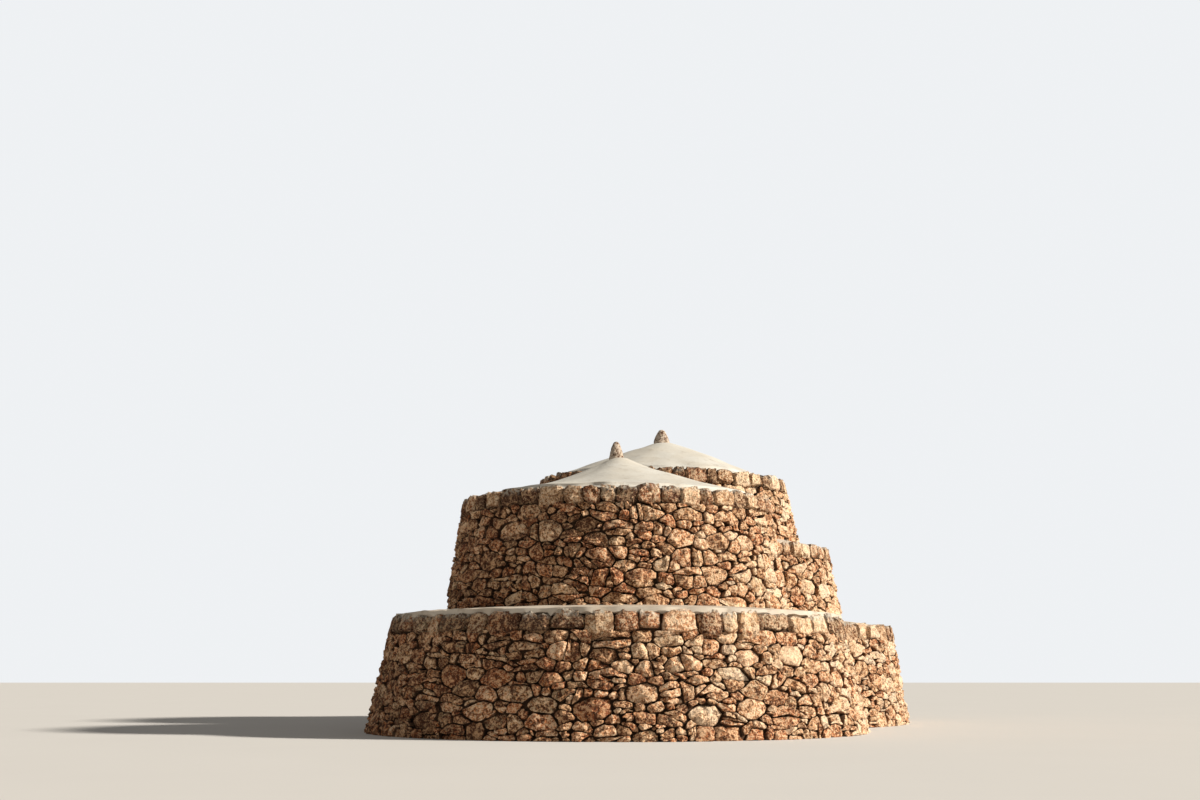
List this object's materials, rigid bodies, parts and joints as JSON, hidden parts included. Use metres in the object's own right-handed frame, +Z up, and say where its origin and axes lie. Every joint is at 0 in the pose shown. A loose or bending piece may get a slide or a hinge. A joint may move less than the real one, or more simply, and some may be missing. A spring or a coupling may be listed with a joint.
{
  "type": "dry-stone trullo house",
  "caption": "Trullo house of two joined round drums in dry stone, stepped in battered tiers with lime ledges, each with a corbelled room, a low limewashed dome and a pinnacle.",
  "frame": {"origin": "on the ground, in the middle of the house's box", "axes": "+Z up, -Y towards the front drum, which the picture shows, and +X to its right"},
  "size_m": [9.6299, 13.2799, 5.67],
  "materials": {
    "wall_rubble": "rough warm limestone rubble laid dry, pitted, with rust and grey lichen stains",
    "cap_stone": "rough squared limestone, larger than the rubble",
    "lime_wash": "off-white lime wash, faintly stained",
    "vault_stone": "flat-bedded limestone courses",
    "dressed_stone": "roughly dressed limestone",
    "pinnacle_stone": "weathered brown limestone"
  },
  "bodies": {
    "root": {"door_jamb_left": "dressed_stone", "door_jamb_right": "dressed_stone", "door_lintels": "dressed_stone", "door_threshold": "dressed_stone", "front_closing_slab": "dressed_stone", "front_dome_lime": "lime_wash", "front_lower_cap_course": "cap_stone", "front_lower_ledge": "lime_wash", "front_lower_wall_front": "wall_rubble", "front_lower_wall_left": "wall_rubble", "front_lower_wall_right": "wall_rubble", "front_pinnacle": "pinnacle_stone", "front_roof_core": "vault_stone", "front_upper_cap_course": "cap_stone", "front_upper_wall_front": "wall_rubble", "front_upper_wall_left": "wall_rubble", "front_upper_wall_right": "wall_rubble", "front_vault_lower_left": "vault_stone", "front_vault_lower_right": "vault_stone", "front_vault_upper_left": "vault_stone", "front_vault_upper_right": "vault_stone", "passage_lintels": "dressed_stone", "rear_closing_slab": "dressed_stone", "rear_dome_lime": "lime_wash", "rear_lower_cap_course": "cap_stone", "rear_lower_ledge": "lime_wash", "rear_lower_wall_left_back": "wall_rubble", "rear_lower_wall_left_front": "wall_rubble", "rear_lower_wall_right_back": "wall_rubble", "rear_lower_wall_right_front": "wall_rubble", "rear_middle_cap_course": "cap_stone", "rear_middle_ledge": "lime_wash", "rear_middle_wall_back": "wall_rubble", "rear_middle_wall_left": "wall_rubble", "rear_middle_wall_right": "wall_rubble", "rear_pinnacle": "pinnacle_stone", "rear_roof_core": "vault_stone", "rear_upper_cap_course": "cap_stone", "rear_upper_wall_back": "wall_rubble", "rear_upper_wall_left": "wall_rubble", "rear_upper_wall_right": "wall_rubble", "rear_vault_lower_left": "vault_stone", "rear_vault_lower_right": "vault_stone", "rear_vault_upper_left": "vault_stone", "rear_vault_upper_right": "vault_stone"}
  },
  "joints": []
}
